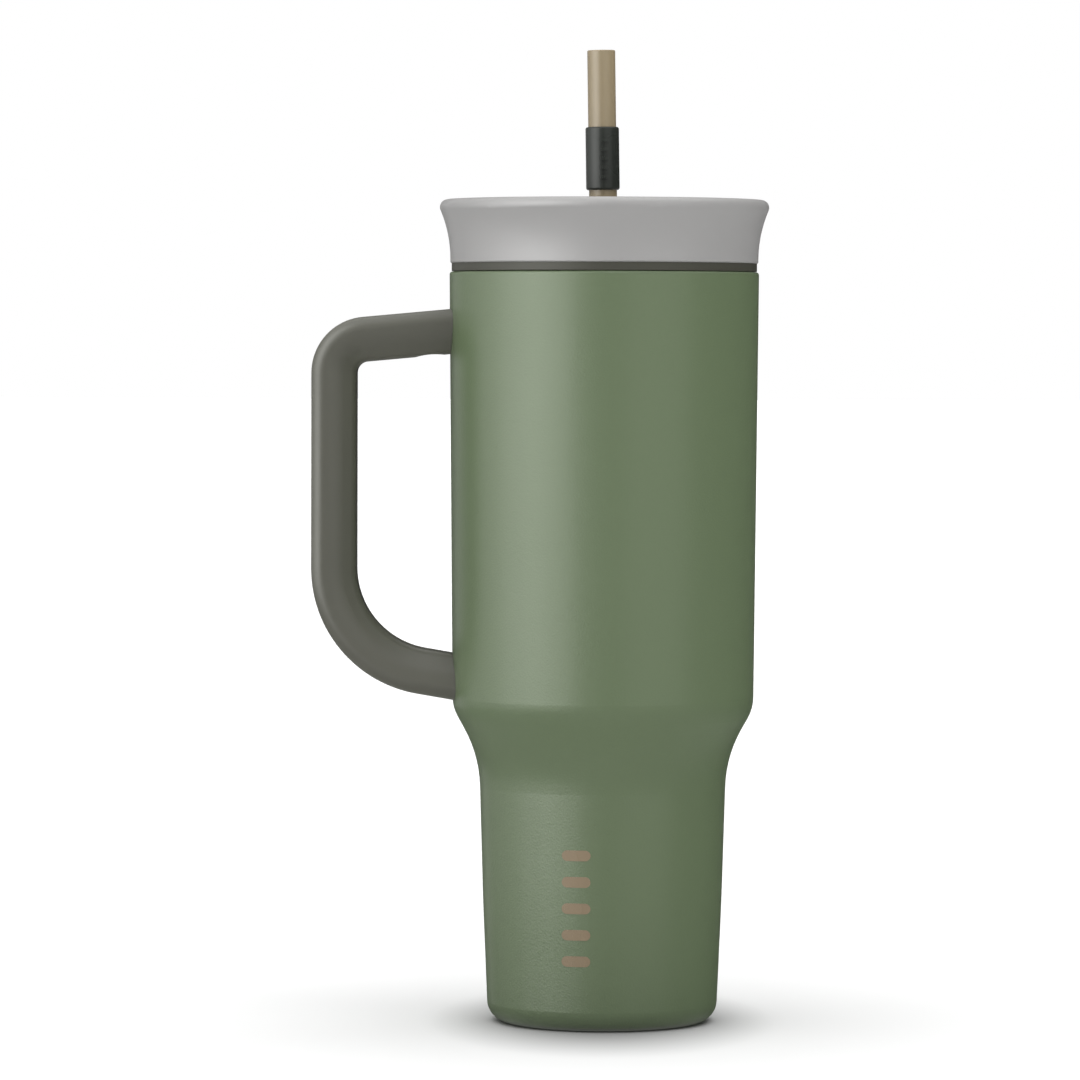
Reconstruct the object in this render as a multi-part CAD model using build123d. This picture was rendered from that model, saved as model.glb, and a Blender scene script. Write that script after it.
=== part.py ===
from build123d import *
import math
import os

# Insulated tumbler with a push-in lid, a straw and a side handle. Millimetres, +Z up.
# The origin is where the cup's axis meets the resting surface, and the handle points along -X.

# Cup, outside
cup_height = 254.1           # resting surface to the mouth
mouth_radius = 52.38         # outside of the cup at the mouth
body_taper = 1.35            # how much slimmer the body is at the top of the shoulder
shoulder_top = 106.5         # height where the body meets the slope of the shoulder
shoulder_bottom = 90.3       # height where the slope meets the stem
stem_radius_top = 41.95      # the stem is the lower body, sized for a cup holder
stem_radius_middle = 40.5
stem_middle = 41.0
stem_radius_foot = 38.75
foot_round = 7.0
shoulder_low_round = 43.0
shoulder_high_round = 14.5
stem_round = 1000.0          # the stem's barely bent side
mouth_round = 1.0

# Cup, walls and base
outer_wall = 0.6
inner_wall = 0.5
vacuum_gap = 2.6             # between the two walls, measured level
liner_floor = 6.5            # underside of the liner's floor
liner_round = 12.0
foil_thickness = 0.12
foil_gap = 0.25              # loose wrap round the liner's side
foil_drop = 14.0             # the foil ends this far below the mouth
cap_radius = 30.0            # base cap, welded into the foot ring
cap_recess = 2.4             # resting surface to the cap's underside
cap_wall = 0.6
cap_round = 0.5
dimple_radius = 6.0
dimple_depth = 1.0
dimple_round = 0.3
pump_hole_radius = 0.8
bead_radius = 2.5
plate_thickness = 0.6
plate_clearance = 0.3
getter_radius = 4.5
getter_height = 1.6
getter_wall = 1.0
getter_place = 16.0

# Handle
handle_standout = 46.4       # mouth's outside to the grip's outer face
handle_drop = 17.0           # mouth to the upper corner, where the outer lines of arm and grip meet
handle_rise = 11.0           # shoulder's top to the lower corner
upper_arm_angle = 5.3        # the upper arm rises towards the cup
lower_arm_angle = 9.65       # the lower arm falls towards the cup
upper_bend = 19.0            # radius of the outer line at the upper corner
lower_bend = 43.0
grip_depth = 15.2            # outer face to inner face
grip_half_outer = 12.4       # half width at the outer face
grip_half_middle = 11.6
grip_middle_depth = 8.0
grip_half_inner = 6.6
grip_round_outer = 3.8
grip_round_middle = 13.0
grip_round_inner = 4.0
skin_thickness = 2.0
arm_overrun = 8.0            # the sweep starts this far inside the cup, and is cut to the shell
scoop_depth = 0.5            # shallow finger of relief round the upper screw
scoop_half_length = 5.0

# Handle brackets and screws
tongue_length = 15.0
tongue_half_width = 5.0
tongue_half_height = 2.2
saddle_half_width = 6.0
saddle_half_height = 4.2
saddle_thickness = 1.5
bracket_clearance = 0.2
screw_reach = 6.6            # mouth's outside to the screw's axis
shank_radius = 1.95
shank_clearance = 0.15
head_radius = 3.4
head_height = 2.2
head_clearance = 0.2
screw_tip = 1.0              # the screw passes the tongue by this much
drive_radius = 1.3           # hexagonal drive
drive_depth = 1.2
screw_plug_clearance = 0.05
screw_plug_thickness = 1.9

# Lid
seat_gap = 0.15              # between the cup's lip and the lid's flange
band_height = 2.8            # the dark band between cup and lid top
band_inset = 0.7             # the band stands back from the mouth's outside
lid_inset = 0.25             # the lid top's foot stands back from the mouth's outside
skirt_height = 1.25          # straight foot of the lid top
skirt_round = 0.5
flare_radius = 42.5
lip_round = 2.6
lid_height = 21.45           # foot of the lid top to its lip
bowl_lean = 13.0             # lean of the bowl's wall, in degrees
bowl_round = 3.5
deck_rise = 4.25             # lid top's foot to the underside of the deck
deck_thickness = 2.2
skirt_wall = 3.3
skirt_root_round = 0.6
plug_gap = 1.75              # liner to the lid's plug
plug_wall = 2.1
plug_depth = 10.5            # the plug reaches this far below the mouth
plug_round_inner = 0.6
plug_round_outer = 0.4
plug_round_top = 0.3
band_round = 0.2
groove_height = 6.0
groove_lift = 2.0            # plug's lower edge to the gasket's groove
groove_depth = 0.8
gasket_clearance = 0.06
gasket_wall = 1.35
lip_gap = 0.15               # gasket lip to liner
gasket_lip_height = 1.6      # from a lip's root to its tip
gasket_lip_shift = 0.2       # the upper lip starts this far above the gasket's middle
gasket_lip_edge = 0.6        # height of a lip's upper slope
gasket_round = 0.2
gasket_tip_round = 0.15

# Straw, its sleeve and the grommet
straw_radius = 4.72
straw_wall = 0.92
straw_standout = 50.5        # straw above the lid's lip
straw_foot_gap = 0.5         # straw to the cup's floor
straw_lean = 0.92            # degrees towards the handle
straw_pivot_drop = 6.1       # the leaning straw crosses the cup's axis this far below the mouth
straw_end_round = 0.4
sleeve_wall = 0.87
sleeve_length = 21.3
sleeve_lift = 3.3            # lid's lip to the sleeve
sleeve_round = 0.78
sleeve_clearance = 0.08
grommet_wall = 3.4
grommet_flange = 1.8
grommet_flange_thickness = 1.5
grommet_round_low = 0.8
grommet_round_top = 0.7
grommet_clearance = 0.08

# Drink gate
slot_inset = 17.38           # mouth's outside to the middle of the drink slot
slot_length = 20.0
slot_width = 9.0
gate_side_margin = 3.0       # slot's end to the gate's side
gate_outer_margin = 3.9      # slot's outer side to the gate's rounded outer edge
gate_inner_margin = 4.5
gate_foot_height = 1.2
gate_height = 2.6
gate_step = 1.8              # the gate's upper part is this much narrower on each side
gate_lift = 0.25             # deck to gate
thumb_round = 0.8
thumb_length = 15.0
thumb_width = 2.6
thumb_height = 1.8
seal_margin = 1.4            # the seal is this much larger than the slot all round
seal_depth = 0.9
seal_proud = 0.1
seal_clearance = 0.05
rail_clearance = 0.3
rail_wall = 2.0
rail_lip = 1.5
rail_lip_thickness = 1.3
rail_past_slot = 7.0         # the rails end this far past the slot's middle, and start
rail_before_slot = 21.0      # this far before it
vent_radius = 1.2
vent_place = 30.0            # deck's centre to the vent, at the back

# Worked out from the sizes above
side_corners = [
    (stem_radius_foot, 0.0),
    (stem_radius_middle, stem_middle),
    (stem_radius_top, shoulder_bottom),
    (mouth_radius - body_taper, shoulder_top),
    (mouth_radius, cup_height),
]
side_rounds = [stem_round, shoulder_low_round, shoulder_high_round]
liner_inset = outer_wall + vacuum_gap
liner_bore_inset = liner_inset + inner_wall
cup_floor = liner_floor + inner_wall
handle_reach = mouth_radius + handle_standout
screw_plug_radius = head_radius + head_clearance - screw_plug_clearance
lid_foot = cup_height + seat_gap + band_height
lid_foot_radius = mouth_radius - lid_inset
lid_lip = lid_foot + lid_height
deck_underside = lid_foot + deck_rise
deck_top = deck_underside + deck_thickness
plug_radius_outer = mouth_radius - liner_bore_inset - plug_gap
plug_bottom = cup_height - plug_depth
straw_bore = straw_radius - straw_wall
sleeve_bore = straw_radius + sleeve_clearance
sleeve_radius = sleeve_bore + sleeve_wall
grommet_radius = straw_radius + grommet_clearance + grommet_wall
slot_place = mouth_radius - slot_inset
gate_half_width = slot_length / 2 + gate_side_margin
gate_outer_reach = slot_place + slot_width / 2 + gate_outer_margin
gate_inner_reach = slot_place - slot_width / 2 - gate_inner_margin
straw_pivot = cup_height - straw_pivot_drop
straw_frame = Location((0, 0, straw_pivot), (0, -straw_lean, 0))


def side_radius(height):
    """Outside radius of the cup at a height, with the corners of its side left sharp."""
    for (low_radius, low), (high_radius, high) in zip(side_corners, side_corners[1:]):
        if height <= high:
            return low_radius + (high_radius - low_radius) * (height - low) / (high - low)
    return mouth_radius


def turned(points, radii):
    """Solid of revolution about Z from the corners (radius, height) of a closed outline."""
    outline = FilletPolyline(*points, radius=radii, close=True)
    return revolve(make_face(Plane.XZ * outline), Axis.Z)


def disc(radius, low, high, x=0.0, y=0.0):
    """Upright cylinder between two heights."""
    return Pos(x, y, low) * Cylinder(radius, high - low, align=(Align.CENTER, Align.CENTER, Align.MIN))


def block(low, high):
    """Box between its lowest and highest corners."""
    size = [high[i] - low[i] for i in range(3)]
    return Pos(*low) * Box(*size, align=(Align.MIN, Align.MIN, Align.MIN))


def cup_form(inset, floor, top, floor_round, top_round=0.0):
    """Filled shape of the cup, its side lying `inset` inside the outside surface."""
    middle = [(radius - inset, height) for radius, height in side_corners[1:4]]
    foot = (side_radius(floor) - inset, floor)
    mouth = (side_radius(top) - inset, top)
    points = [(0, floor), foot, *middle, mouth, (0, top)]
    return turned(points, [0, floor_round, *side_rounds, top_round, 0])


def make_cup():
    """Double-walled cup: shell, liner, foil, base cap, bead, getter and cover plate."""
    pieces = {}
    whole = cup_form(0, 0, cup_height, foot_round, mouth_round)
    hollow = cup_form(outer_wall, outer_wall, cup_height - outer_wall, foot_round - outer_wall)
    liner_form = cup_form(liner_inset, liner_floor, cup_height, liner_round)
    foot_opening = disc(cap_radius, 0, liner_floor)
    pieces["outer_shell"] = whole - hollow - liner_form - foot_opening

    bore_form = cup_form(liner_bore_inset, cup_floor, cup_height, liner_round - inner_wall)
    pieces["inner_shell"] = liner_form - bore_form

    foil_inner_inset = liner_inset - foil_gap
    foil_top = cup_height - foil_drop
    foil_floor = liner_floor - foil_thickness
    foil_round = liner_round + foil_gap
    foil_outside = cup_form(
        foil_inner_inset - foil_thickness, foil_floor, foil_top, foil_round + foil_thickness
    )
    pieces["copper_foil"] = foil_outside - cup_form(foil_inner_inset, liner_floor, foil_top, foil_round)

    cap_top = cap_recess + cap_wall
    dimple_top = cap_recess + dimple_depth
    cap = turned(
        [
            (pump_hole_radius, dimple_top),
            (dimple_radius, dimple_top),
            (dimple_radius, cap_recess),
            (cap_radius - cap_wall, cap_recess),
            (cap_radius - cap_wall, 0),
            (cap_radius, 0),
            (cap_radius, cap_top),
            (dimple_radius + cap_wall, cap_top),
            (dimple_radius + cap_wall, dimple_top + cap_wall),
            (pump_hole_radius, dimple_top + cap_wall),
        ],
        [0, dimple_round, 0, dimple_round, 0, 0, cap_round, 0, dimple_round, 0],
    )
    pieces["base_cap"] = cap
    bead_low = dimple_top - cap_wall
    pieces["vacuum_seal_bead"] = disc(bead_radius, bead_low, dimple_top) + disc(
        pump_hole_radius, dimple_top, dimple_top + cap_wall
    )
    pieces["base_plate"] = disc(
        cap_radius - cap_wall - plate_clearance, cap_recess - plate_thickness, cap_recess
    )
    getter = disc(getter_radius, cap_top, cap_top + getter_height, x=getter_place)
    pieces["getter"] = getter - disc(
        getter_radius - getter_wall, cap_top + getter_wall, cap_top + getter_height, x=getter_place
    )
    return pieces, whole


def section_face(inset):
    """Egg-shaped section of the handle: depth runs along local Y, from the outer face inwards."""
    right = [
        (grip_half_outer - inset, inset),
        (grip_half_middle - inset, grip_middle_depth),
        (grip_half_inner - inset, grip_depth - inset),
    ]
    left = [(-across, depth) for across, depth in reversed(right)]
    radii = [grip_round_outer - inset, grip_round_middle - inset, grip_round_inner - inset]
    outline = FilletPolyline(*right, *left, radius=[*radii, *reversed(radii)], close=True)
    return make_face(outline)


def handle_sweep(inset):
    """The handle's bar along its whole path, before its ends are cut to the shell."""
    start_radius = mouth_radius - arm_overrun
    upper_z = cup_height - handle_drop
    lower_z = shoulder_top + handle_rise
    rise = (handle_reach - start_radius) * math.tan(math.radians(upper_arm_angle))
    fall = (handle_reach - start_radius) * math.tan(math.radians(lower_arm_angle))
    corners = [
        (-start_radius, upper_z + rise),
        (-handle_reach, upper_z),
        (-handle_reach, lower_z),
        (-start_radius, lower_z - fall),
    ]
    path = Plane.XZ * FilletPolyline(*corners, radius=[upper_bend, lower_bend])
    section = section_face(inset)
    bar = Part()
    for run in path.edges():
        face = Plane(origin=run @ 0, x_dir=(0, 1, 0), z_dir=run % 0) * section
        if run.geom_type == GeomType.CIRCLE:
            turn = (run % 0).get_angle(run % 1)
            bar += revolve(face, Axis(run.arc_center, (0, -1, 0)), turn)
        else:
            bar += extrude(face, run.length)
    return bar


def arm_places():
    """For each arm: its name, the screw's axis, its underside, its top and its middle height."""
    upper_z = cup_height - handle_drop
    lower_z = shoulder_top + handle_rise
    across = mouth_radius + screw_reach
    upper_face = upper_z + (handle_reach - across) * math.tan(math.radians(upper_arm_angle))
    lower_face = lower_z - (handle_reach - across) * math.tan(math.radians(lower_arm_angle))
    upper_tall = grip_depth / math.cos(math.radians(upper_arm_angle))
    lower_tall = grip_depth / math.cos(math.radians(lower_arm_angle))
    return [
        ("upper", -across, upper_face - upper_tall, upper_face),
        ("lower", -across, lower_face, lower_face + lower_tall),
    ]


def bracket_form(middle, whole, grow):
    """Saddle welded to the shell and the tongue that enters the arm, `grow` larger for the pocket."""
    side = side_radius(middle)
    reach = side + tongue_length + grow
    tongue = block(
        (-reach, -tongue_half_width - grow, middle - tongue_half_height - grow),
        (-side + saddle_half_height, tongue_half_width + grow, middle + tongue_half_height + grow),
    )
    window = block(
        (-side - saddle_thickness - grow, -saddle_half_width - grow, middle - saddle_half_height - grow),
        (0, saddle_half_width + grow, middle + saddle_half_height + grow),
    )
    saddle = cup_form(-saddle_thickness - grow, 0, cup_height, foot_round) & window
    return (tongue + saddle) - whole


def screw_form(x, head_low, tip):
    """Screw that is driven upwards, with a hexagonal drive in the underside of its head."""
    screw = disc(head_radius, head_low, head_low + head_height, x=x)
    screw += disc(shank_radius, head_low + head_height, tip, x=x)
    drive = Pos(x, 0, head_low) * extrude(RegularPolygon(drive_radius, 6), drive_depth)
    return screw - drive


def make_handle(whole):
    """Handle core, its soft skin, and for each arm a bracket, a screw and a plug."""
    pieces = {}
    bar = handle_sweep(0)
    spine = handle_sweep(skin_thickness)
    for name, x, underside, top in arm_places():
        if name == "upper":
            slope = math.radians(upper_arm_angle)
            scoop_radius = (scoop_half_length**2 + scoop_depth**2) / (2 * scoop_depth)
            drop = scoop_radius - scoop_depth
            roller = Cylinder(scoop_radius, 4 * grip_half_outer, rotation=(90, 0, 0))
            roller = Pos(x + drop * math.sin(slope), 0, underside - drop * math.cos(slope)) * roller
            reach = scoop_half_length + scoop_depth
            bar -= roller & block(
                (x - reach, -2 * grip_half_outer, underside - scoop_half_length),
                (x + reach, 2 * grip_half_outer, underside + 2 * scoop_depth),
            )
    skin = bar - spine - whole
    core = spine - whole
    for name, x, underside, top in arm_places():
        middle = (underside + top) / 2
        head_low = underside + screw_plug_thickness
        tongue_top = middle + tongue_half_height
        tip = tongue_top + screw_tip
        pocket = bracket_form(middle, whole, bracket_clearance)
        shaft = disc(shank_radius + shank_clearance, underside, tip + shank_clearance, x=x)
        below = underside - grip_depth / 2
        counterbore = disc(head_radius + head_clearance, below, head_low + head_height, x=x)
        core -= pocket + shaft + counterbore
        skin -= pocket + shaft + counterbore
        pieces[name + "_bracket"] = bracket_form(middle, whole, 0) - disc(
            shank_radius, middle - saddle_half_height, tip, x=x
        )
        pieces[name + "_screw"] = screw_form(x, head_low, tip)
        pieces[name + "_screw_plug"] = disc(screw_plug_radius, below, head_low, x=x) & bar
    pieces["handle_core"] = core
    pieces["handle_skin"] = skin
    return pieces


def lid_top_form():
    """Flared collar and sunken deck as one turned shape."""
    flare_start = Vector(lid_foot_radius, lid_foot + skirt_height)
    flare_centre = flare_start + Vector(flare_radius, 0)
    lip_z = lid_lip - lip_round
    climb = lip_z - flare_start.Y
    lip_centre = Vector(flare_centre.X - math.sqrt((flare_radius + lip_round) ** 2 - climb**2), lip_z)
    to_flare = (flare_centre - lip_centre).normalized()
    flare_end = lip_centre + to_flare * lip_round
    half_climb = math.asin(climb / (flare_radius + lip_round)) / 2
    flare_middle = flare_centre - Vector(math.cos(half_climb), -math.sin(half_climb)) * flare_radius
    lean = math.radians(bowl_lean)
    bowl_start = lip_centre + Vector(-math.cos(lean), math.sin(lean)) * lip_round
    deck_edge = bowl_start.X - (bowl_start.Y - deck_top) * math.tan(lean)
    underside = FilletPolyline(
        (bowl_start.X, bowl_start.Y),
        (deck_edge, deck_top),
        (0, deck_top),
        (0, deck_underside),
        (lid_foot_radius - skirt_wall, deck_underside),
        (lid_foot_radius - skirt_wall, lid_foot),
        (lid_foot_radius, lid_foot),
        (flare_start.X, flare_start.Y),
        radius=[bowl_round, 0, 0, skirt_root_round, 0, skirt_round],
    )
    flare = ThreePointArc(flare_start, flare_middle, flare_end)
    lip_top = lip_centre + Vector(0, lip_round)
    lip = ThreePointArc(flare_end, lip_top, bowl_start)
    return revolve(make_face(Plane.XZ * (Curve() + [underside, flare, lip])), Axis.Z)


def gate_rail(side):
    """Guide rib with a lip over the gate's foot, on one side of the drink slot."""
    wall_start = gate_half_width + rail_clearance
    lip_low = gate_lift + gate_foot_height + rail_clearance
    outline = Polyline(
        (wall_start, -deck_thickness / 2),
        (wall_start + rail_wall, -deck_thickness / 2),
        (wall_start + rail_wall, lip_low + rail_lip_thickness),
        (wall_start - rail_lip, lip_low + rail_lip_thickness),
        (wall_start - rail_lip, lip_low),
        (wall_start, lip_low),
        close=True,
    )
    rail = extrude(Plane.XZ * make_face(outline), rail_before_slot + rail_past_slot)
    rail = Pos(0, rail_before_slot - slot_place, deck_top) * rail
    return rail if side > 0 else mirror(rail, about=Plane.YZ)


def make_lid():
    """Lid top, lid lower half, gasket and straw grommet."""
    pieces = {}
    top = lid_top_form() + gate_rail(1) + gate_rail(-1)
    top -= disc(grommet_radius, deck_underside, deck_top)
    slot = SlotOverall(slot_length, slot_width)
    top -= Pos(0, -slot_place, deck_underside) * extrude(slot, deck_thickness)
    top -= disc(vent_radius, deck_underside, deck_top, y=vent_place)
    pieces["lid_top"] = top

    plug_inner = plug_radius_outer - plug_wall
    groove_low = plug_bottom + groove_lift
    groove_high = groove_low + groove_height
    groove_radius = plug_radius_outer - groove_depth
    band_radius = mouth_radius - band_inset
    pieces["lid_lower"] = turned(
        [
            (plug_inner, plug_bottom),
            (plug_radius_outer, plug_bottom),
            (plug_radius_outer, groove_low),
            (groove_radius, groove_low),
            (groove_radius, groove_high),
            (plug_radius_outer, groove_high),
            (plug_radius_outer, cup_height + seat_gap),
            (band_radius, cup_height + seat_gap),
            (band_radius, lid_foot),
            (plug_radius_outer, lid_foot),
            (plug_radius_outer, deck_underside),
            (plug_inner, deck_underside),
        ],
        [plug_round_inner, plug_round_outer, 0, 0, 0, 0, 0, band_round, 0, 0, plug_round_top, 0],
    )

    bore = side_radius(groove_low) - liner_bore_inset
    ring_inner = groove_radius + gasket_clearance
    ring_outer = ring_inner + gasket_wall
    ring_low = groove_low + gasket_clearance
    ring_high = groove_high - gasket_clearance
    tip = bore - lip_gap
    low_tip = ring_low + gasket_lip_height
    high_root = (ring_low + ring_high) / 2 + gasket_lip_shift
    high_tip = high_root - gasket_lip_shift + gasket_lip_height
    pieces["lid_gasket"] = turned(
        [
            (ring_inner, ring_low),
            (ring_outer, ring_low),
            (tip, low_tip),
            (ring_outer, low_tip + gasket_lip_edge),
            (ring_outer, high_root),
            (tip, high_tip),
            (ring_outer, high_tip + gasket_lip_edge),
            (ring_outer, ring_high),
            (ring_inner, ring_high),
        ],
        [0, gasket_round, gasket_tip_round, 0, 0, gasket_tip_round, 0, gasket_round, 0],
    )

    flange_radius = grommet_radius + grommet_flange
    grommet = turned(
        [
            (0, deck_underside - grommet_flange_thickness),
            (flange_radius, deck_underside - grommet_flange_thickness),
            (flange_radius, deck_underside),
            (grommet_radius, deck_underside),
            (grommet_radius, deck_top),
            (flange_radius, deck_top),
            (flange_radius, deck_top + grommet_flange_thickness),
            (0, deck_top + grommet_flange_thickness),
        ],
        [0, grommet_round_low, 0, 0, 0, 0, grommet_round_top, 0],
    )
    straw_way = straw_frame * Cylinder(straw_radius + grommet_clearance, 4 * plug_depth)
    pieces["straw_grommet"] = grommet - straw_way
    return pieces


def make_gate():
    """Sliding gate over the drink slot, and the seal set in its underside."""
    foot_low = deck_top + gate_lift
    foot_high = foot_low + gate_foot_height
    gate_top = foot_low + gate_height
    half_upper = gate_half_width - gate_step
    gate = Part()
    for half_width, low, high in [
        (gate_half_width, foot_low, foot_high),
        (half_upper, foot_high, gate_top),
    ]:
        gate += block((-half_width, -gate_outer_reach, low), (half_width, -gate_inner_reach, high))
    gate &= disc(gate_outer_reach, foot_low, gate_top)
    middle = (gate_outer_reach + gate_inner_reach) / 2
    thumb = SlotOverall(thumb_length, thumb_width)
    gate += Pos(0, -middle, gate_top) * extrude(thumb, thumb_height)
    crown = gate.faces().sort_by(Axis.Z)[-1]
    gate = fillet(crown.edges(), thumb_round)
    seal_outline = SlotOverall(slot_length + 2 * seal_margin, slot_width + 2 * seal_margin)
    seal_top = foot_low + seal_depth - seal_proud
    pocket_outline = offset(seal_outline, seal_clearance)
    gate -= Pos(0, -slot_place, foot_low) * extrude(pocket_outline, seal_top - foot_low)
    seal = Pos(0, -slot_place, foot_low - seal_proud) * extrude(seal_outline, seal_depth)
    return {"drink_gate": gate, "gate_seal": seal}


def make_straw():
    """Straw and its sleeve, both along the straw's leaning axis."""
    top = lid_lip + straw_standout - straw_pivot
    bottom = cup_floor + straw_foot_gap - straw_pivot
    outline = [(straw_bore, bottom), (straw_radius, bottom), (straw_radius, top), (straw_bore, top)]
    straw = turned(outline, straw_end_round)
    sleeve_low = lid_lip + sleeve_lift - straw_pivot
    sleeve_high = sleeve_low + sleeve_length
    sleeve_outline = [
        (sleeve_bore, sleeve_low),
        (sleeve_radius, sleeve_low),
        (sleeve_radius, sleeve_high),
        (sleeve_bore, sleeve_high),
    ]
    sleeve = turned(sleeve_outline, [0, sleeve_round, sleeve_round, 0])
    return {"straw": straw_frame * straw, "straw_sleeve": straw_frame * sleeve}


def main():
    """Build every sub-part and write one STEP file for each."""
    os.makedirs("parts", exist_ok=True)
    pieces, whole = make_cup()
    pieces.update(make_handle(whole))
    pieces.update(make_lid())
    pieces.update(make_gate())
    pieces.update(make_straw())
    for name, piece in pieces.items():
        solids = piece.solids()
        print(f"{name}: {len(solids)} solid, {sum(s.volume for s in solids):.1f} mm3")
        shape = solids[0] if len(solids) == 1 else Compound(solids)
        export_step(shape, f"parts/{name}.step")


main()
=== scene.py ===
import math

import bmesh
import bpy
from mathutils import Matrix, Vector
from mathutils.bvhtree import BVHTree


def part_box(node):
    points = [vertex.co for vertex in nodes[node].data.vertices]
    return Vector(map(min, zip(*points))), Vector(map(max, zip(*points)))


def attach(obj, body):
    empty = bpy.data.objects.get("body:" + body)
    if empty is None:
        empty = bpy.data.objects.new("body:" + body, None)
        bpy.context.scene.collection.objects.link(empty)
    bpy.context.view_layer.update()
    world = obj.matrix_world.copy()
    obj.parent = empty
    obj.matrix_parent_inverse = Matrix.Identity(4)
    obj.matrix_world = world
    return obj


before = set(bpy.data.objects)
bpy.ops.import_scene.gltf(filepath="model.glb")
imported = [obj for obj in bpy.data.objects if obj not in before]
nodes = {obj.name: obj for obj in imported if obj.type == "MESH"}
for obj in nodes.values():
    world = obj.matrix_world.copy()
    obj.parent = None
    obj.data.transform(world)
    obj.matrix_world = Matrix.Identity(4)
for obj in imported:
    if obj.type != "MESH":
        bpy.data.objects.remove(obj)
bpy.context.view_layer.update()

# Insulated tumbler with a push-in lid, a straw and a side handle. Metres, +Z up, the
# handle towards -X and the front towards -Y.

MM = 0.001
scene = bpy.context.scene


# ---------------------------------------------------------------- colours
def colour(red, green, blue):
    """Linear colour from screen values of 0 to 255."""
    def linear(value):
        value /= 255.0
        return value / 12.92 if value <= 0.04045 else ((value + 0.055) / 1.055) ** 2.4
    return (linear(red), linear(green), linear(blue), 1.0)


SAGE = colour(99, 115, 84)
LID_GREY = colour(158, 157, 156)
OLIVE = colour(88, 88, 78)
OLIVE_BAND = colour(71, 71, 62)
TAN = colour(155, 140, 111)
SLEEVE_DARK = colour(47, 51, 46)
PRINT_TAN = colour(138, 121, 96)
SEAL_BROWN = colour(90, 83, 74)
BRIGHT_STEEL = (0.62, 0.61, 0.59, 1.0)
DULL_STEEL = (0.58, 0.57, 0.56, 1.0)
COPPER = (0.80, 0.42, 0.26, 1.0)
SINTER_GREY = (0.25, 0.24, 0.23, 1.0)


# ---------------------------------------------------------------- shader groups
def new_group(name, inputs, outputs):
    """Empty shader node group with named inputs (name, type, default) and outputs."""
    group = bpy.data.node_groups.new(name, "ShaderNodeTree")
    for label, kind, default in inputs:
        socket = group.interface.new_socket(label, in_out="INPUT", socket_type=kind)
        socket.default_value = default
    for label, kind in outputs:
        group.interface.new_socket(label, in_out="OUTPUT", socket_type=kind)
    return group, group.nodes.new("NodeGroupInput"), group.nodes.new("NodeGroupOutput")


def grain_group():
    """Moulded or sprayed grain: a height of fine cells over a slower orange-peel wave."""
    group, given, out = new_group(
        "surface_grain",
        [
            ("Fine", "NodeSocketFloat", 2600.0),
            ("Slow", "NodeSocketFloat", 420.0),
            ("Slow Share", "NodeSocketFloat", 0.4),
        ],
        [("Height", "NodeSocketFloat")],
    )
    links = group.links
    place = group.nodes.new("ShaderNodeTexCoord")
    fine = group.nodes.new("ShaderNodeTexNoise")
    fine.inputs["Detail"].default_value = 2.0
    slow = group.nodes.new("ShaderNodeTexNoise")
    slow.inputs["Detail"].default_value = 3.0
    blend = group.nodes.new("ShaderNodeMix")
    links.new(place.outputs["Object"], fine.inputs["Vector"])
    links.new(place.outputs["Object"], slow.inputs["Vector"])
    links.new(given.outputs["Fine"], fine.inputs["Scale"])
    links.new(given.outputs["Slow"], slow.inputs["Scale"])
    links.new(given.outputs["Slow Share"], blend.inputs["Factor"])
    links.new(fine.outputs["Fac"], blend.inputs["A"])
    links.new(slow.outputs["Fac"], blend.inputs["B"])
    links.new(blend.outputs["Result"], out.inputs["Height"])
    return group


CLOUD_DARKEST, CLOUD_BRIGHTEST = 0.3, 0.7


def handling_group():
    """Slow cloudy variation, as fingers and washing leave on a satin surface."""
    group, given, out = new_group(
        "handling",
        [
            ("Scale", "NodeSocketFloat", 22.0),
            ("Low", "NodeSocketFloat", 0.0),
            ("High", "NodeSocketFloat", 1.0),
        ],
        [("Value", "NodeSocketFloat")],
    )
    links = group.links
    place = group.nodes.new("ShaderNodeTexCoord")
    cloud = group.nodes.new("ShaderNodeTexNoise")
    cloud.inputs["Detail"].default_value = 4.0
    spread = group.nodes.new("ShaderNodeMapRange")
    spread.inputs["From Min"].default_value = CLOUD_DARKEST
    spread.inputs["From Max"].default_value = CLOUD_BRIGHTEST
    links.new(place.outputs["Object"], cloud.inputs["Vector"])
    links.new(given.outputs["Scale"], cloud.inputs["Scale"])
    links.new(cloud.outputs["Fac"], spread.inputs["Value"])
    links.new(given.outputs["Low"], spread.inputs["To Min"])
    links.new(given.outputs["High"], spread.inputs["To Max"])
    links.new(spread.outputs["Result"], out.inputs["Value"])
    return group


RING_STRETCH = (0.02, 0.02, 1.0)


def brushed_group():
    """Fine rings round the cup's axis, as spinning and polishing leave on steel."""
    group, given, out = new_group(
        "turned_rings",
        [("Rings", "NodeSocketFloat", 900.0)],
        [("Height", "NodeSocketFloat")],
    )
    links = group.links
    place = group.nodes.new("ShaderNodeTexCoord")
    stretch = group.nodes.new("ShaderNodeMapping")
    stretch.inputs["Scale"].default_value = RING_STRETCH
    rings = group.nodes.new("ShaderNodeTexNoise")
    rings.inputs["Detail"].default_value = 3.0
    links.new(place.outputs["Object"], stretch.inputs["Vector"])
    links.new(stretch.outputs["Vector"], rings.inputs["Vector"])
    links.new(given.outputs["Rings"], rings.inputs["Scale"])
    links.new(rings.outputs["Fac"], out.inputs["Height"])
    return group


GRAIN = grain_group()
HANDLING = handling_group()
BRUSHED = brushed_group()


def placed_group(material, group, **values):
    """One use of a node group in a material, with its inputs set."""
    node = material.node_tree.nodes.new("ShaderNodeGroup")
    node.node_tree = group
    for label, value in values.items():
        node.inputs[label.replace("_", " ")].default_value = value
    return node


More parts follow.
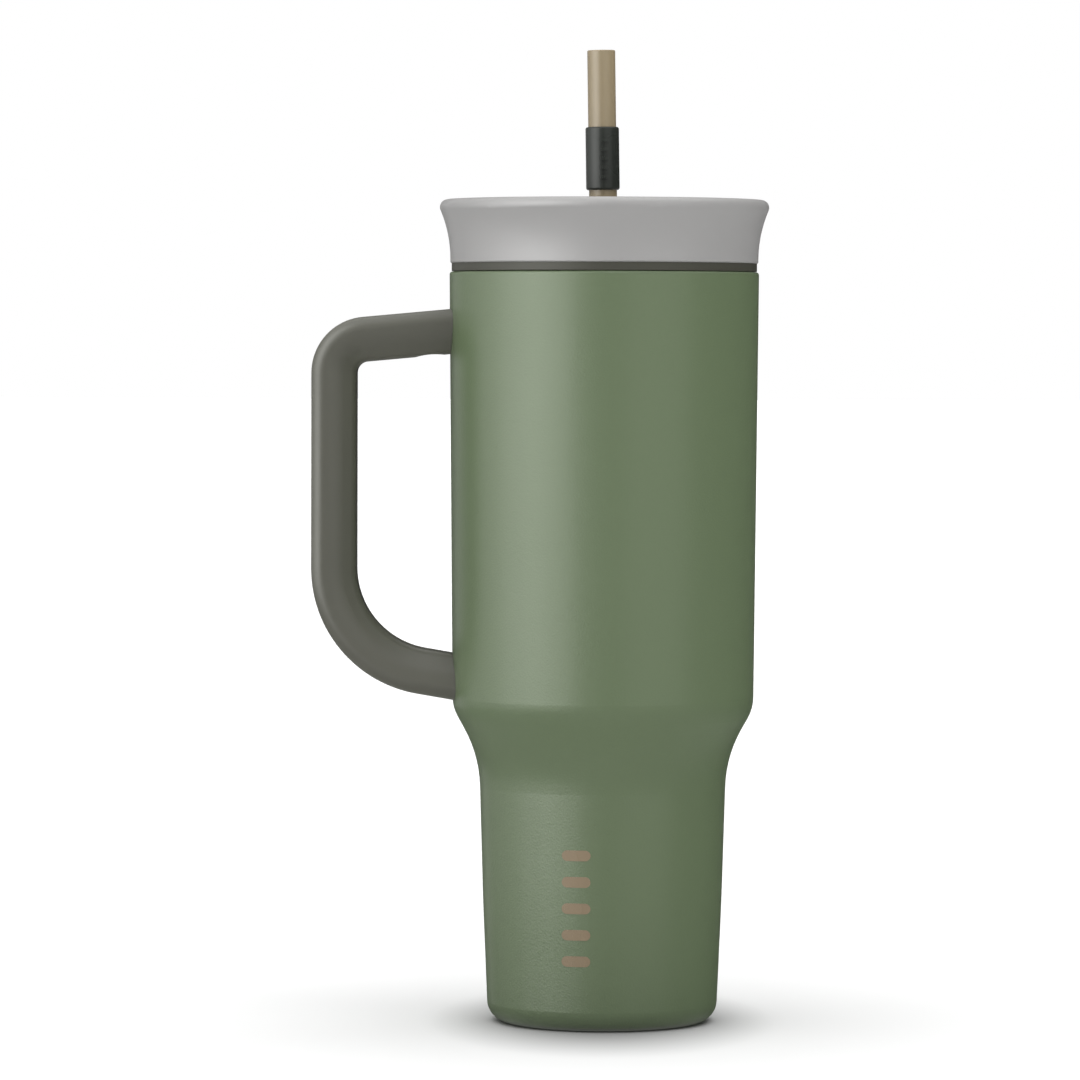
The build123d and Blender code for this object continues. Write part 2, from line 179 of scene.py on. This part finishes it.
# ---------------------------------------------------------------- materials
def shade(share, tone):
    """A colour made darker or lighter by a factor."""
    red, green, blue, _ = tone
    return (red * share, green * share, blue * share, 1.0)


def satin(name, tone, spread, rough, grain, bump, specular=0.5):
    """Plastic, rubber or powder coat: a tone mottled within a spread, cloudy gloss, fine grain."""
    material = bpy.data.materials.new(name)
    material.use_nodes = True
    tree = material.node_tree
    shader = tree.nodes["Principled BSDF"]
    fine, slow, slow_share = grain
    texture = placed_group(material, GRAIN, Fine=fine, Slow=slow, Slow_Share=slow_share)
    clouds = placed_group(material, HANDLING, Low=rough[0], High=rough[1])
    mix = tree.nodes.new("ShaderNodeMix")
    mix.data_type = "RGBA"
    mix.inputs["A"].default_value = shade(spread[0], tone)
    mix.inputs["B"].default_value = shade(spread[1], tone)
    tree.links.new(texture.outputs["Height"], mix.inputs["Factor"])
    tree.links.new(mix.outputs["Result"], shader.inputs["Base Color"])
    tree.links.new(clouds.outputs["Value"], shader.inputs["Roughness"])
    relief = tree.nodes.new("ShaderNodeBump")
    strength, distance = bump
    relief.inputs["Strength"].default_value = strength
    relief.inputs["Distance"].default_value = distance
    tree.links.new(texture.outputs["Height"], relief.inputs["Height"])
    tree.links.new(relief.outputs["Normal"], shader.inputs["Normal"])
    shader.inputs["Specular IOR Level"].default_value = specular
    return material


METAL_CLOUD_SCALE = 60.0
RING_DEPTH = 0.05 * MM


def metal(name, tint, rough, rings, strength):
    """Bare metal with fine turned rings and cloudy roughness."""
    material = bpy.data.materials.new(name)
    material.use_nodes = True
    tree = material.node_tree
    shader = tree.nodes["Principled BSDF"]
    shader.inputs["Base Color"].default_value = tint
    shader.inputs["Metallic"].default_value = 1.0
    clouds = placed_group(material, HANDLING, Scale=METAL_CLOUD_SCALE, Low=rough[0], High=rough[1])
    lines = placed_group(material, BRUSHED, Rings=rings)
    relief = tree.nodes.new("ShaderNodeBump")
    relief.inputs["Strength"].default_value = strength
    relief.inputs["Distance"].default_value = RING_DEPTH
    tree.links.new(clouds.outputs["Value"], shader.inputs["Roughness"])
    tree.links.new(lines.outputs["Height"], relief.inputs["Height"])
    tree.links.new(relief.outputs["Normal"], shader.inputs["Normal"])
    return material


powder_coat = satin(
    "sage_powder_coat", SAGE, (0.96, 1.04), rough=(0.31, 0.35), grain=(1500, 520, 0.3),
    bump=(0.7, 0.11 * MM),
)
lid_plastic = satin(
    "lid_grey_satin", LID_GREY, (0.99, 1.01), rough=(0.36, 0.42), grain=(3000, 700, 0.3),
    bump=(0.08, 0.04 * MM), specular=0.62,
)
band_plastic = satin(
    "olive_band_plastic", OLIVE_BAND, (0.97, 1.03), rough=(0.38, 0.46), grain=(2800, 600, 0.3),
    bump=(0.08, 0.04 * MM), specular=0.25,
)
handle_soft = satin(
    "olive_soft_touch", OLIVE, (0.97, 1.03), rough=(0.34, 0.40), grain=(2600, 600, 0.35),
    bump=(0.16, 0.05 * MM),
)
core_plastic = satin(
    "core_black_plastic", shade(0.45, OLIVE), (0.9, 1.1), rough=(0.45, 0.60), grain=(2000, 500, 0.4),
    bump=(0.1, 0.08 * MM),
)
gate_plastic = satin(
    "gate_olive_plastic", OLIVE, (0.95, 1.03), rough=(0.34, 0.42), grain=(2600, 600, 0.3),
    bump=(0.1, 0.05 * MM),
)
soft_rubber = satin(
    "olive_rubber", shade(0.9, OLIVE), (0.95, 1.05), rough=(0.5, 0.62), grain=(2600, 500, 0.4),
    bump=(0.12, 0.06 * MM), specular=0.3,
)
gasket_rubber = satin(
    "gasket_silicone", shade(1.15, OLIVE), (0.96, 1.04), rough=(0.42, 0.55), grain=(2200, 500, 0.4),
    bump=(0.1, 0.05 * MM), specular=0.35,
)
straw_plastic = satin(
    "straw_tan_plastic", TAN, (0.98, 1.02), rough=(0.28, 0.34), grain=(1500, 260, 0.7),
    bump=(0.05, 0.06 * MM),
)
sleeve_rubber = satin(
    "sleeve_dark_silicone", SLEEVE_DARK, (0.96, 1.04), rough=(0.26, 0.32), grain=(3000, 600, 0.3),
    bump=(0.1, 0.05 * MM), specular=0.30,
)
print_ink = satin(
    "stem_print_ink", PRINT_TAN, (0.97, 1.03), rough=(0.42, 0.48), grain=(1500, 520, 0.3),
    bump=(0.3, 0.06 * MM), specular=0.35,
)
liner_steel = metal("liner_steel", BRIGHT_STEEL, rough=(0.24, 0.34), rings=900.0, strength=0.12)
plain_steel = metal("plain_steel", DULL_STEEL, rough=(0.30, 0.42), rings=500.0, strength=0.08)
copper = metal("copper_foil", COPPER, rough=(0.22, 0.34), rings=300.0, strength=0.15)
sinter = metal("getter_sinter", SINTER_GREY, rough=(0.55, 0.7), rings=1500.0, strength=0.3)
seal_glass = satin(
    "seal_glass", SEAL_BROWN, (0.95, 1.05), rough=(0.1, 0.18), grain=(900, 200, 0.5),
    bump=(0.05, 0.05 * MM),
)

finishes = {
    "outer_shell": powder_coat,
    "inner_shell": liner_steel,
    "copper_foil": copper,
    "base_cap": plain_steel,
    "vacuum_seal_bead": seal_glass,
    "base_plate": plain_steel,
    "getter": sinter,
    "upper_bracket": plain_steel,
    "lower_bracket": plain_steel,
    "upper_screw": plain_steel,
    "lower_screw": plain_steel,
    "upper_screw_plug": soft_rubber,
    "lower_screw_plug": soft_rubber,
    "handle_core": core_plastic,
    "handle_skin": handle_soft,
    "lid_top": lid_plastic,
    "lid_lower": band_plastic,
    "lid_gasket": gasket_rubber,
    "straw_grommet": soft_rubber,
    "drink_gate": gate_plastic,
    "gate_seal": soft_rubber,
    "straw": straw_plastic,
    "straw_sleeve": sleeve_rubber,
}
for node_name, finish in finishes.items():
    mesh = nodes[node_name].data
    mesh.materials.clear()
    mesh.materials.append(finish)


# ---------------------------------------------------------------- new pieces
SHARP_ANGLE = math.radians(35)
PILL_SEGMENTS = 40
ON_CENTRE = 1e-7
WELL_IN_FRONT = -0.3
WALL_PER_PROUD = 1.5
PRINT_BARS = 5
PRINT_LOW, PRINT_HIGH = 24.0 * MM, 59.5 * MM
PRINT_ACROSS = -8.7 * MM
PRINT_WIDTH, PRINT_BAR = 9.6 * MM, 3.6 * MM
PRINT_PROUD = 0.03 * MM
PRINT_SLICES = 10
RIB_COUNT = 5
RIB_PITCH = 3.1 * MM
RIB_ACROSS = 0.5 * MM
RIB_WIDTH, RIB_HEIGHT = 3.0 * MM, 1.3 * MM
RIB_PROUD = 0.35 * MM
RIB_SLICES = 6


def piece_from(build, name, material, body):
    """A new smooth-shaded object from a bmesh, with its finish, on a CAD body."""
    for edge in build.edges:
        edge.smooth = edge.is_manifold and edge.calc_face_angle() < SHARP_ANGLE
    mesh = bpy.data.meshes.new(name)
    build.to_mesh(mesh)
    build.free()
    mesh.materials.append(material)
    for polygon in mesh.polygons:
        polygon.use_smooth = True
    piece = bpy.data.objects.new(name, mesh)
    scene.collection.objects.link(piece)
    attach(piece, body)


def surface_of(node_name):
    """Search tree over a CAD node's surface."""
    mesh = nodes[node_name].data
    corners = [vertex.co.copy() for vertex in mesh.vertices]
    return BVHTree.FromPolygons(corners, [tuple(polygon.vertices) for polygon in mesh.polygons])


def add_pill(build, centre_x, centre_z, width, height, slices):
    """Flat rounded bar in the XZ plane, cut into upright strips so that it can be bent."""
    made = bmesh.ops.create_circle(build, cap_ends=True, radius=height / 2, segments=PILL_SEGMENTS)
    corners = made["verts"]
    bmesh.ops.rotate(build, verts=corners, cent=(0, 0, 0), matrix=Matrix.Rotation(math.pi / 2, 3, "X"))
    stretch = (width - height) / 2
    for vertex in corners:
        vertex.co.x += math.copysign(stretch, vertex.co.x) if abs(vertex.co.x) > ON_CENTRE else 0.0
    bmesh.ops.translate(build, verts=corners, vec=(centre_x, 0, centre_z))
    for step in range(1, slices):
        cut = centre_x - width / 2 + width * step / slices
        near = [face for face in build.faces if abs(face.calc_center_median().x - centre_x) < width]
        edges = {edge for face in near for edge in face.edges}
        verts = {vert for face in near for vert in face.verts}
        bmesh.ops.bisect_plane(
            build, geom=near + list(edges) + list(verts), plane_co=(cut, 0, 0), plane_no=(1, 0, 0)
        )


def wrap_on(build, tree, proud):
    """Lays flat shapes on the front of a surface, then gives them their thickness."""
    backwards = Vector((0, 1, 0))
    for vertex in build.verts:
        start = Vector((vertex.co.x, WELL_IN_FRONT, vertex.co.z))
        hit, normal, _, _ = tree.ray_cast(start, backwards)
        vertex.co = hit + normal * proud
    bmesh.ops.recalc_face_normals(build, faces=build.faces)
    if sum(face.normal.y for face in build.faces) > 0:
        bmesh.ops.reverse_faces(build, faces=build.faces)
    bmesh.ops.solidify(build, geom=list(build.faces), thickness=-proud * WALL_PER_PROUD)
    bmesh.ops.recalc_face_normals(build, faces=build.faces)


def stem_print():
    """Plain printed gauge of five equal bars on the front of the stem."""
    build = bmesh.new()
    for row in range(PRINT_BARS):
        height = PRINT_LOW + (PRINT_HIGH - PRINT_LOW) * row / (PRINT_BARS - 1)
        add_pill(build, PRINT_ACROSS, height, PRINT_WIDTH, PRINT_BAR, PRINT_SLICES)
    wrap_on(build, surface_of("outer_shell"), PRINT_PROUD)
    piece_from(build, "stem_print", print_ink, "cup")


def sleeve_ribs():
    """Short raised grip ribs moulded on the front of the straw's sleeve."""
    build = bmesh.new()
    low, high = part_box("straw_sleeve")
    middle_x = (low.x + high.x) / 2 + RIB_ACROSS
    middle_z = (low.z + high.z) / 2
    for row in range(RIB_COUNT):
        height = middle_z + RIB_PITCH * (row - (RIB_COUNT - 1) / 2)
        add_pill(build, middle_x, height, RIB_WIDTH, RIB_HEIGHT, RIB_SLICES)
    wrap_on(build, surface_of("straw_sleeve"), RIB_PROUD)
    piece_from(build, "sleeve_ribs", sleeve_rubber, "sleeve")


stem_print()
sleeve_ribs()


# ---------------------------------------------------------------- camera
CAMERA_PLACE = (0.0, -1.997, 0.2343)
CAMERA_SENSOR, CAMERA_LENS = 36.0, 196.43
CAMERA_REACH = 20.0
CAMERA_PITCH, CAMERA_YAW, CAMERA_ROLL = -2.037, -0.617, 0.169
camera_data = bpy.data.cameras.new("camera")
camera_data.sensor_width = CAMERA_SENSOR
camera_data.lens = CAMERA_LENS
camera_data.clip_end = CAMERA_REACH
camera = bpy.data.objects.new("camera", camera_data)
scene.collection.objects.link(camera)
camera.location = CAMERA_PLACE
pitch, yaw, roll = math.radians(CAMERA_PITCH), math.radians(CAMERA_YAW), math.radians(CAMERA_ROLL)
forward = Vector((math.sin(yaw) * math.cos(pitch), math.cos(yaw) * math.cos(pitch), math.sin(pitch)))
right = forward.cross(Vector((0, 0, 1))).normalized()
up = right.cross(forward)
rolled_right = right * math.cos(roll) + up * math.sin(roll)
rolled_up = up * math.cos(roll) - right * math.sin(roll)
turn = Matrix((rolled_right, rolled_up, -forward)).transposed()
camera.rotation_mode = "QUATERNION"
camera.rotation_quaternion = turn.to_quaternion()
scene.camera = camera


# ---------------------------------------------------------------- floor, light
# Painted contact shadow: the floor's colour darkens from FLOOR_PLAIN to FLOOR_SHADED in an oval,
# stretched front to back, round the cup's foot.
FLOOR_SHADE_SQUEEZE = 0.56
FLOOR_SHADE_START, FLOOR_SHADE_END = 0.016, 0.060
FLOOR_SHADED, FLOOR_PLAIN = (0.10, 0.10, 0.10, 1.0), (0.9, 0.9, 0.9, 1.0)
FLOOR_HALF_WIDTH = 30.0
FLOOR_ROUGHNESS = 0.9
WHITE = (1.0, 1.0, 1.0, 1.0)
OVERHEAD_EDGE = (0.55, 0.9)
OVERHEAD_LIGHT = 2.4
UNDERFOOT_EDGE = (-0.2, -0.6)
UNDERFOOT_LIGHT = 0.25
HORIZON_LIGHT = 0.30
HORIZON_LEAN = (-0.08, -0.22, 0.0)
MIRRORED_SHARE = 0.6
KEY_PANELS = [(12, 0.10), (32, 0.82), (52, 1.1), (72, 0.84), (92, 0.36), (112, 0.20), (140, 0.12)]
KEY_POWER = 16.0
KEY_DISTANCE, KEY_HEIGHT = 1.6, 0.9
KEY_SIZE = (0.56, 2.2)
FILL_POWER = 7.0
FILL_AZIMUTH, FILL_DISTANCE, FILL_HEIGHT = -40, 1.8, 0.7
FILL_SIZE = (1.7, 1.8)


def stage_floor():
    """Plain pale floor with a painted soft shadow where the foot stands on it."""
    build = bmesh.new()
    bmesh.ops.create_grid(build, x_segments=1, y_segments=1, size=FLOOR_HALF_WIDTH)
    mesh = bpy.data.meshes.new("floor")
    build.to_mesh(mesh)
    build.free()
    floor = bpy.data.objects.new("floor", mesh)
    scene.collection.objects.link(floor)
    white = bpy.data.materials.new("floor_white_painted_shadow")
    white.use_nodes = True
    tree = white.node_tree
    shader = tree.nodes["Principled BSDF"]
    place = tree.nodes.new("ShaderNodeTexCoord")
    squeeze = tree.nodes.new("ShaderNodeMapping")
    squeeze.inputs["Scale"].default_value = (1.0, FLOOR_SHADE_SQUEEZE, 1.0)
    reach = tree.nodes.new("ShaderNodeVectorMath")
    reach.operation = "LENGTH"
    # Painted shadow: a ramp darkens the floor's base colour towards the foot.
    painted_shadow = tree.nodes.new("ShaderNodeValToRGB")
    painted_shadow.color_ramp.interpolation = "B_SPLINE"
    inner, outer = painted_shadow.color_ramp.elements
    inner.position, inner.color = FLOOR_SHADE_START, FLOOR_SHADED
    outer.position, outer.color = FLOOR_SHADE_END, FLOOR_PLAIN
    tree.links.new(place.outputs["Object"], squeeze.inputs["Vector"])
    tree.links.new(squeeze.outputs["Vector"], reach.inputs[0])
    tree.links.new(reach.outputs["Value"], painted_shadow.inputs["Fac"])
    tree.links.new(painted_shadow.outputs["Color"], shader.inputs["Base Color"])
    shader.inputs["Roughness"].default_value = FLOOR_ROUGHNESS
    shader.inputs["Specular IOR Level"].default_value = 0.0
    mesh.materials.append(white)
    floor.visible_glossy = False


def softbox(name, place, aim, size, power):
    """Lamp seen only in reflections, at a place, pointing at a spot, with its width and height."""
    light = bpy.data.lights.new(name, "AREA")
    light.shape = "RECTANGLE"
    light.size, light.size_y = size
    light.energy = power
    lamp = bpy.data.objects.new(name, light)
    scene.collection.objects.link(lamp)
    lamp.location = place
    lamp.rotation_mode = "QUATERNION"
    lamp.rotation_quaternion = (Vector(aim) - Vector(place)).to_track_quat("-Z", "Y")
    lamp.visible_diffuse = False
    lamp.visible_camera = False


def around(azimuth, distance, height):
    """A place round the cup's axis; azimuth 0 is the front and positive turns towards the handle."""
    angle = math.radians(azimuth)
    return (-math.sin(angle) * distance, -math.cos(angle) * distance, height)


def studio_world():
    """White to the camera. Matt surfaces are lit by a bright patch overhead and surroundings that
    darken towards the back; reflections see a share of that and a low glow from underfoot."""
    world = bpy.data.worlds.new("studio")
    scene.world = world
    world.use_nodes = True
    tree = world.node_tree
    links = tree.links
    out = tree.nodes["World Output"]
    place = tree.nodes.new("ShaderNodeTexCoord")
    split = tree.nodes.new("ShaderNodeSeparateXYZ")
    links.new(place.outputs["Generated"], split.inputs["Vector"])

    overhead = tree.nodes.new("ShaderNodeMapRange")
    overhead.interpolation_type = "SMOOTHSTEP"
    overhead.inputs["From Min"].default_value = OVERHEAD_EDGE[0]
    overhead.inputs["From Max"].default_value = OVERHEAD_EDGE[1]
    overhead.inputs["To Min"].default_value = 0.0
    overhead.inputs["To Max"].default_value = OVERHEAD_LIGHT
    links.new(split.outputs["Z"], overhead.inputs["Value"])
    towards = tree.nodes.new("ShaderNodeVectorMath")
    towards.operation = "DOT_PRODUCT"
    towards.inputs[1].default_value = HORIZON_LEAN
    links.new(place.outputs["Generated"], towards.inputs[0])
    horizon = tree.nodes.new("ShaderNodeMath")
    horizon.operation = "ADD"
    horizon.use_clamp = True
    horizon.inputs[1].default_value = HORIZON_LIGHT
    links.new(towards.outputs["Value"], horizon.inputs[0])
    total = tree.nodes.new("ShaderNodeMath")
    total.operation = "ADD"
    links.new(overhead.outputs["Result"], total.inputs[0])
    links.new(horizon.outputs["Value"], total.inputs[1])

    lit = tree.nodes["Background"]
    lit.inputs["Color"].default_value = WHITE
    links.new(total.outputs["Value"], lit.inputs["Strength"])
    mirrored = tree.nodes.new("ShaderNodeBackground")
    mirrored.inputs["Color"].default_value = WHITE
    underfoot = tree.nodes.new("ShaderNodeMapRange")
    underfoot.interpolation_type = "SMOOTHSTEP"
    underfoot.inputs["From Min"].default_value = UNDERFOOT_EDGE[0]
    underfoot.inputs["From Max"].default_value = UNDERFOOT_EDGE[1]
    underfoot.inputs["To Min"].default_value = 0.0
    underfoot.inputs["To Max"].default_value = UNDERFOOT_LIGHT
    links.new(split.outputs["Z"], underfoot.inputs["Value"])
    gloss = tree.nodes.new("ShaderNodeMath")
    gloss.operation = "MULTIPLY_ADD"
    gloss.inputs[1].default_value = MIRRORED_SHARE
    links.new(total.outputs["Value"], gloss.inputs[0])
    links.new(underfoot.outputs["Result"], gloss.inputs[2])
    links.new(gloss.outputs["Value"], mirrored.inputs["Strength"])
    seen = tree.nodes.new("ShaderNodeBackground")
    seen.inputs["Color"].default_value = WHITE
    seen.inputs["Strength"].default_value = 1.0
    rays = tree.nodes.new("ShaderNodeLightPath")
    for_gloss = tree.nodes.new("ShaderNodeMixShader")
    for_camera = tree.nodes.new("ShaderNodeMixShader")
    links.new(rays.outputs["Is Glossy Ray"], for_gloss.inputs["Fac"])
    links.new(lit.outputs["Background"], for_gloss.inputs[1])
    links.new(mirrored.outputs["Background"], for_gloss.inputs[2])
    links.new(rays.outputs["Is Camera Ray"], for_camera.inputs["Fac"])
    links.new(for_gloss.outputs["Shader"], for_camera.inputs[1])
    links.new(seen.outputs["Background"], for_camera.inputs[2])
    links.new(for_camera.outputs["Shader"], out.inputs["Surface"])


stage_floor()
studio_world()
for azimuth, share in KEY_PANELS:
    key_place = around(azimuth, KEY_DISTANCE, KEY_HEIGHT)
    softbox(f"key_panel_{azimuth}", key_place, (0, 0, KEY_HEIGHT), KEY_SIZE, KEY_POWER * share)
fill_place = around(FILL_AZIMUTH, FILL_DISTANCE, FILL_HEIGHT)
softbox("fill_softbox", fill_place, (0, 0, FILL_HEIGHT), FILL_SIZE, FILL_POWER)
scene.view_settings.view_transform = "Standard"
